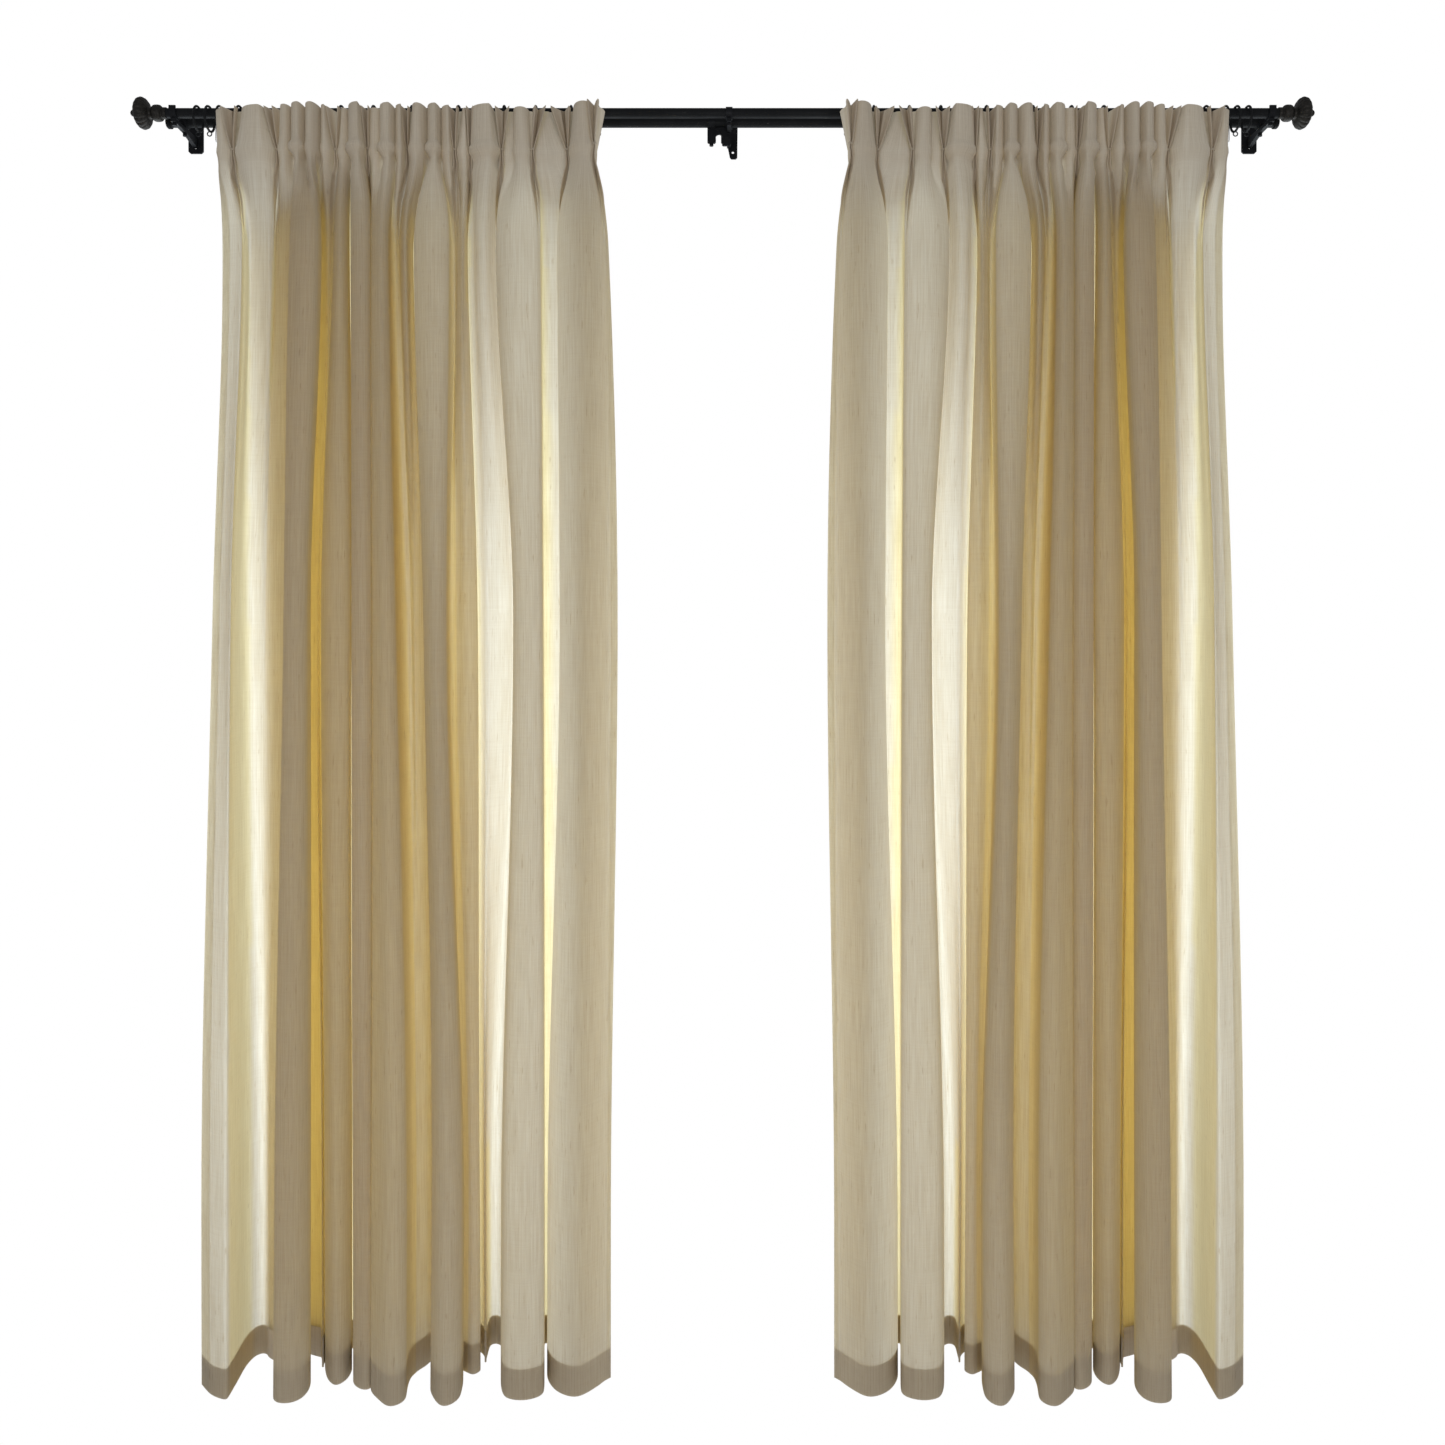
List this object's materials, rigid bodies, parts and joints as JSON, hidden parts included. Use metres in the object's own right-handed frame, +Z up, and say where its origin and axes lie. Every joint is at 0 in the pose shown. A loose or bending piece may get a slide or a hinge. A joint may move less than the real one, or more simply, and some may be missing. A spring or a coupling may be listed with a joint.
{
  "type": "curtains on a rod",
  "caption": "Pair of floor-length pinch-pleated linen curtains on rings, hung from the front rod of a black double curtain rod with turned finials and wall brackets.",
  "frame": {"origin": "centre of the end brackets' four wall holes, on the wall's face, level with both rods' axes, in the middle of the window", "axes": "+X along the rods to the viewer's right, +Y into the wall, +Z up"},
  "size_m": [2.308, 0.2095, 2.4895],
  "materials": {
    "rod_black": "satin black powder coat",
    "bracket_black": "satin black, slightly textured casting",
    "finial_bronze": "black with a faint rubbed bronze tint",
    "ring_black": "satin black",
    "hook_steel": "bright drawn wire",
    "linen": "unlined natural linen with fine vertical slubs, lets light through"
  },
  "bodies": {
    "root": {"front_rod": "rod_black", "rear_rod": "rod_black", "finial_left": "finial_bronze", "finial_right": "finial_bronze", "rear_end_caps": "rod_black", "bracket_left": "bracket_black", "bracket_centre": "bracket_black", "bracket_right": "bracket_black", "set_screws": "finial_bronze", "parked_rings": "ring_black", "ring_left_1": "ring_black", "hook_left_1": "hook_steel", "panel_left_outer": "linen", "ring_right_1": "ring_black", "hook_right_1": "hook_steel", "panel_right_outer": "linen"},
    "left_carrier_2": {"ring_left_2": "ring_black", "hook_left_2": "hook_steel"},
    "left_carrier_3": {"ring_left_3": "ring_black", "hook_left_3": "hook_steel"},
    "left_carrier_4": {"ring_left_4": "ring_black", "hook_left_4": "hook_steel"},
    "left_carrier_5": {"ring_left_5": "ring_black", "hook_left_5": "hook_steel"},
    "left_carrier_6": {"ring_left_6": "ring_black", "hook_left_6": "hook_steel", "panel_left_middle": "linen"},
    "left_carrier_7": {"ring_left_7": "ring_black", "hook_left_7": "hook_steel"},
    "left_carrier_8": {"ring_left_8": "ring_black", "hook_left_8": "hook_steel"},
    "left_carrier_9": {"ring_left_9": "ring_black", "hook_left_9": "hook_steel"},
    "left_carrier_10": {"ring_left_10": "ring_black", "hook_left_10": "hook_steel"},
    "left_carrier_11": {"ring_left_11": "ring_black", "hook_left_11": "hook_steel", "panel_left_inner": "linen"},
    "right_carrier_2": {"ring_right_2": "ring_black", "hook_right_2": "hook_steel"},
    "right_carrier_3": {"ring_right_3": "ring_black", "hook_right_3": "hook_steel"},
    "right_carrier_4": {"ring_right_4": "ring_black", "hook_right_4": "hook_steel"},
    "right_carrier_5": {"ring_right_5": "ring_black", "hook_right_5": "hook_steel"},
    "right_carrier_6": {"ring_right_6": "ring_black", "hook_right_6": "hook_steel", "panel_right_middle": "linen"},
    "right_carrier_7": {"ring_right_7": "ring_black", "hook_right_7": "hook_steel"},
    "right_carrier_8": {"ring_right_8": "ring_black", "hook_right_8": "hook_steel"},
    "right_carrier_9": {"ring_right_9": "ring_black", "hook_right_9": "hook_steel"},
    "right_carrier_10": {"ring_right_10": "ring_black", "hook_right_10": "hook_steel"},
    "right_carrier_11": {"ring_right_11": "ring_black", "hook_right_11": "hook_steel", "panel_right_inner": "linen"}
  },
  "joints": [
    {"name": "left_draw", "type": "slide", "parent": "root", "child": "left_carrier_11", "axis": [1, 0, 0], "range_m": [-0.32, 0.19]},
    {"name": "left_slide_2", "type": "slide", "parent": "root", "child": "left_carrier_2", "axis": [1, 0, 0], "range_m": [-0.00248, 0.00148]},
    {"name": "left_slide_3", "type": "slide", "parent": "root", "child": "left_carrier_3", "axis": [1, 0, 0], "range_m": [-0.02643, 0.0157]},
    {"name": "left_slide_4", "type": "slide", "parent": "root", "child": "left_carrier_4", "axis": [1, 0, 0], "range_m": [-0.07818, 0.04643]},
    {"name": "left_slide_5", "type": "slide", "parent": "root", "child": "left_carrier_5", "axis": [1, 0, 0], "range_m": [-0.11617, 0.06898]},
    {"name": "left_slide_6", "type": "slide", "parent": "root", "child": "left_carrier_6", "axis": [1, 0, 0], "range_m": [-0.16457, 0.09772]},
    {"name": "left_slide_7", "type": "slide", "parent": "root", "child": "left_carrier_7", "axis": [1, 0, 0], "range_m": [-0.22181, 0.1317]},
    {"name": "left_slide_8", "type": "slide", "parent": "root", "child": "left_carrier_8", "axis": [1, 0, 0], "range_m": [-0.27099, 0.1609]},
    {"name": "left_slide_9", "type": "slide", "parent": "root", "child": "left_carrier_9", "axis": [1, 0, 0], "range_m": [-0.29691, 0.17629]},
    {"name": "left_slide_10", "type": "slide", "parent": "root", "child": "left_carrier_10", "axis": [1, 0, 0], "range_m": [-0.31544, 0.1873]},
    {"name": "right_draw", "type": "slide", "parent": "root", "child": "right_carrier_11", "axis": [-1, 0, 0], "range_m": [-0.32, 0.19]},
    {"name": "right_slide_2", "type": "slide", "parent": "root", "child": "right_carrier_2", "axis": [-1, 0, 0], "range_m": [-0.00248, 0.00148]},
    {"name": "right_slide_3", "type": "slide", "parent": "root", "child": "right_carrier_3", "axis": [-1, 0, 0], "range_m": [-0.02643, 0.0157]},
    {"name": "right_slide_4", "type": "slide", "parent": "root", "child": "right_carrier_4", "axis": [-1, 0, 0], "range_m": [-0.07818, 0.04643]},
    {"name": "right_slide_5", "type": "slide", "parent": "root", "child": "right_carrier_5", "axis": [-1, 0, 0], "range_m": [-0.11617, 0.06898]},
    {"name": "right_slide_6", "type": "slide", "parent": "root", "child": "right_carrier_6", "axis": [-1, 0, 0], "range_m": [-0.16457, 0.09772]},
    {"name": "right_slide_7", "type": "slide", "parent": "root", "child": "right_carrier_7", "axis": [-1, 0, 0], "range_m": [-0.22181, 0.1317]},
    {"name": "right_slide_8", "type": "slide", "parent": "root", "child": "right_carrier_8", "axis": [-1, 0, 0], "range_m": [-0.27099, 0.1609]},
    {"name": "right_slide_9", "type": "slide", "parent": "root", "child": "right_carrier_9", "axis": [-1, 0, 0], "range_m": [-0.29691, 0.17629]},
    {"name": "right_slide_10", "type": "slide", "parent": "root", "child": "right_carrier_10", "axis": [-1, 0, 0], "range_m": [-0.31544, 0.1873]}
  ],
  "couplings": [
    {"joint": "left_slide_2", "follows": "left_draw", "ratio": 0.00772},
    {"joint": "left_slide_3", "follows": "left_draw", "ratio": 0.08257},
    {"joint": "left_slide_4", "follows": "left_draw", "ratio": 0.24429},
    {"joint": "left_slide_5", "follows": "left_draw", "ratio": 0.36299},
    {"joint": "left_slide_6", "follows": "left_draw", "ratio": 0.51426},
    {"joint": "left_slide_7", "follows": "left_draw", "ratio": 0.69311},
    {"joint": "left_slide_8", "follows": "left_draw", "ratio": 0.8468},
    {"joint": "left_slide_9", "follows": "left_draw", "ratio": 0.9278},
    {"joint": "left_slide_10", "follows": "left_draw", "ratio": 0.98573},
    {"joint": "right_slide_2", "follows": "right_draw", "ratio": 0.00772},
    {"joint": "right_slide_3", "follows": "right_draw", "ratio": 0.08257},
    {"joint": "right_slide_4", "follows": "right_draw", "ratio": 0.24429},
    {"joint": "right_slide_5", "follows": "right_draw", "ratio": 0.36299},
    {"joint": "right_slide_6", "follows": "right_draw", "ratio": 0.51426},
    {"joint": "right_slide_7", "follows": "right_draw", "ratio": 0.69311},
    {"joint": "right_slide_8", "follows": "right_draw", "ratio": 0.8468},
    {"joint": "right_slide_9", "follows": "right_draw", "ratio": 0.9278},
    {"joint": "right_slide_10", "follows": "right_draw", "ratio": 0.98573}
  ]
}
